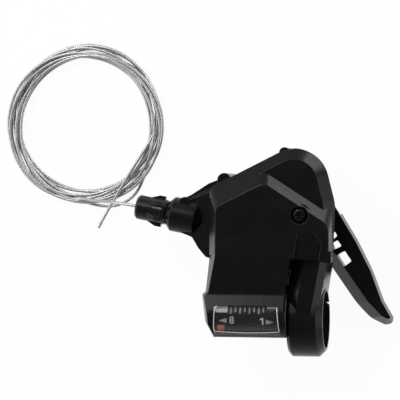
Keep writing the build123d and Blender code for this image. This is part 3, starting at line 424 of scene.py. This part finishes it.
# Plan shapes, in millimetres
BARS = (box(-33.9, -29.3, 3.3, 5.75), box(-14.0, -10.3, 4.75, 5.6))
ARROWS = (((-32.7, 0.3), (-29.6, -0.6), (-29.6, 1.2)), ((-11.4, -0.1), (-14.4, 0.8), (-14.4, -1.0)))
TICK_COUNT = 8
TICK_STEP = 1.8
TICK_SIDES = (-28.2, -27.7)
TICK_TOP = 5.3
TICK_LOWS = (2.9, 3.5)
EIGHT_MIDDLE = (-27.6, 0.35)
EIGHT_HEIGHT = 2.8
ONE = (box(-15.95, -15.4, -1.25, 1.45), ((-16.8, 0.4), (-15.95, 0.95), (-15.95, 1.45), (-16.8, 0.85)))

# Painted highlight along the lens's rounded edge, where it catches a lamp, from the top left corner round the
# bottom to the top right
LENS_HIGHLIGHT_LINE = ((-33.2, 5.72), (-33.75, 5.55), (-34.05, 5.1), (-34.1, 4.4), (-34.3, 1.2), (-34.55, -3.3), (-34.35, -3.75),
        (-33.9, -3.95), (-30.0, -4.2), (-21.8, -4.45), (-13.6, -4.2), (-9.6, -3.95), (-9.3, -3.6), (-9.45, -2.4),
        (-9.75, 1.2), (-10.0, 4.4), (-10.05, 5.4))
LENS_HIGHLIGHT_WIDTH = 0.28

# Grey band painted under the highlight line, as a painted reflection in the lower end of the lens, which it hides
REFLECTION_BAND = ((-34.6, -5.4), (-9.13, -5.4), (-9.13, -4.15), (-13.6, -4.4), (-21.8, -4.65), (-30.0, -4.4), (-34.6, -4.1))

ticks = []
for i in range(TICK_COUNT):
    left, right = (side + TICK_STEP * i for side in TICK_SIDES)
    ticks.append(box(left, right, TICK_LOWS[i % 2], TICK_TOP))
laid("dial_bars", plan_mesh("dial_bars", BARS), print_white)
laid("dial_arrows", plan_mesh("dial_arrows", ARROWS), print_grey)
laid("dial_ticks", plan_mesh("dial_ticks", ticks), print_grey)
laid("dial_eight", digit("dial_eight", "8", EIGHT_MIDDLE, EIGHT_HEIGHT), print_white)
laid("dial_one", plan_mesh("dial_one", ONE), print_white)
# Painted highlight line along the lens's edge
laid("window_edge_highlight", plan_mesh("window_edge_highlight", ribbon(LENS_HIGHLIGHT_LINE, LENS_HIGHLIGHT_WIDTH)), edge_highlight_white, LENS_RADIUS)
# Painted reflection band on the lower end of the lens
laid("window_reflection_band", plan_mesh("window_reflection_band", [REFLECTION_BAND]), reflection_band_grey, LENS_RADIUS)

# Stage. The floor is white to the eye and in reflections, and keeps a small share of its shading for the shadow
FLOOR_REACH = 3.0
FLOOR_WHITE = (0.9, 0.9, 0.9)
FLOOR_GLOW = 0.95
SKY_PLACES = (0.25, 0.80)
SKY_COLOURS = ((0.62, 0.62, 0.62), (0.15, 0.15, 0.15))

# Soft boxes: name, place, target and size in metres, power in watts.
# The high box's right side falls across the left end of the window, as a lamp does in the photograph
LAMPS = (
    ("high_box", (-0.40, 0.58, 0.68), (-0.40, 0.02, 0.0), (0.40, 0.50), 4.8),
    ("far_box", (0.55, 0.80, 0.20), (-0.02, 0.04, 0.0), (0.7, 0.35), 4.8),
    ("left_box", (-0.85, 0.0, 0.45), (-0.02, 0.04, 0.0), (0.9, 0.6), 5.0),
    ("right_box", (0.8, 0.0, 0.30), (-0.02, 0.04, 0.0), (0.6, 0.4), 1.6),
)


def joined(tree, operation, first, second):
    """A math node on a socket and another socket or number."""
    node = tree.nodes.new("ShaderNodeMath")
    node.operation = operation
    tree.links.new(first, node.inputs[0])
    if isinstance(second, float):
        node.inputs[1].default_value = second
    else:
        tree.links.new(second, node.inputs[1])
    return node.outputs[0]


def add_floor():
    mesh = bpy.data.meshes.new("floor")
    corners = box(-FLOOR_REACH, FLOOR_REACH, -FLOOR_REACH, FLOOR_REACH)
    mesh.from_pydata([(x, y, TABLE * MM) for x, y in corners], [], [(0, 1, 2, 3)])
    material = bpy.data.materials.new("floor_white")
    material.use_nodes = True
    tree = material.node_tree
    tree.nodes.clear()
    matt = tree.nodes.new("ShaderNodeBsdfDiffuse")
    matt.inputs["Color"].default_value = (*FLOOR_WHITE, 1.0)
    glow = tree.nodes.new("ShaderNodeEmission")
    glow.inputs["Strength"].default_value = 1.0
    ray = tree.nodes.new("ShaderNodeLightPath")
    seen = joined(tree, "MAXIMUM", ray.outputs["Is Camera Ray"], ray.outputs["Is Glossy Ray"])
    seen = joined(tree, "MAXIMUM", seen, ray.outputs["Is Transmission Ray"])
    mix = tree.nodes.new("ShaderNodeMixShader")
    tree.links.new(joined(tree, "MULTIPLY", seen, FLOOR_GLOW), mix.inputs["Fac"])
    tree.links.new(matt.outputs[0], mix.inputs[1])
    tree.links.new(glow.outputs[0], mix.inputs[2])
    out = tree.nodes.new("ShaderNodeOutputMaterial")
    tree.links.new(mix.outputs[0], out.inputs["Surface"])
    mesh.materials.append(material)
    floor = bpy.data.objects.new("floor", mesh)
    bpy.context.collection.objects.link(floor)


def add_world():
    """A pale horizon under a dark ceiling, as in a studio with white walls."""
    world = bpy.data.worlds.new("studio")
    world.use_nodes = True
    tree = world.node_tree
    place = tree.nodes.new("ShaderNodeTexCoord")
    split = tree.nodes.new("ShaderNodeSeparateXYZ")
    tree.links.new(place.outputs["Generated"], split.inputs["Vector"])
    colour = ramped(tree, split.outputs["Z"], SKY_PLACES, SKY_COLOURS)
    tree.links.new(colour, tree.nodes["Background"].inputs["Color"])
    bpy.context.scene.world = world


def add_lamp(name, place, target, size, power):
    lamp = bpy.data.lights.new(name, "AREA")
    lamp.shape = "RECTANGLE"
    lamp.size, lamp.size_y = size
    lamp.energy = power
    holder = bpy.data.objects.new(name, lamp)
    holder.location = place
    holder.rotation_euler = (Vector(target) - Vector(place)).to_track_quat("-Z", "Y").to_euler()
    bpy.context.collection.objects.link(holder)


def add_camera():
    back = (Vector(CAMERA_PLACE) - Vector(CAMERA_TARGET)).normalized()
    up = Vector((0, 1, 0))
    turn = Matrix((up.cross(back), up, back)).transposed().to_4x4()
    lens = bpy.data.cameras.new("photo_camera")
    lens.sensor_width = SENSOR
    lens.lens = CAMERA_LENS
    lens.clip_start = CAMERA_NEAR * MM
    camera = bpy.data.objects.new("photo_camera", lens)
    camera.matrix_world = Matrix.Translation(metres(CAMERA_PLACE)) @ turn
    bpy.context.collection.objects.link(camera)
    bpy.context.scene.camera = camera


add_floor()
add_world()
for lamp in LAMPS:
    add_lamp(*lamp)
add_camera()
bpy.context.scene.view_settings.view_transform = "Standard"
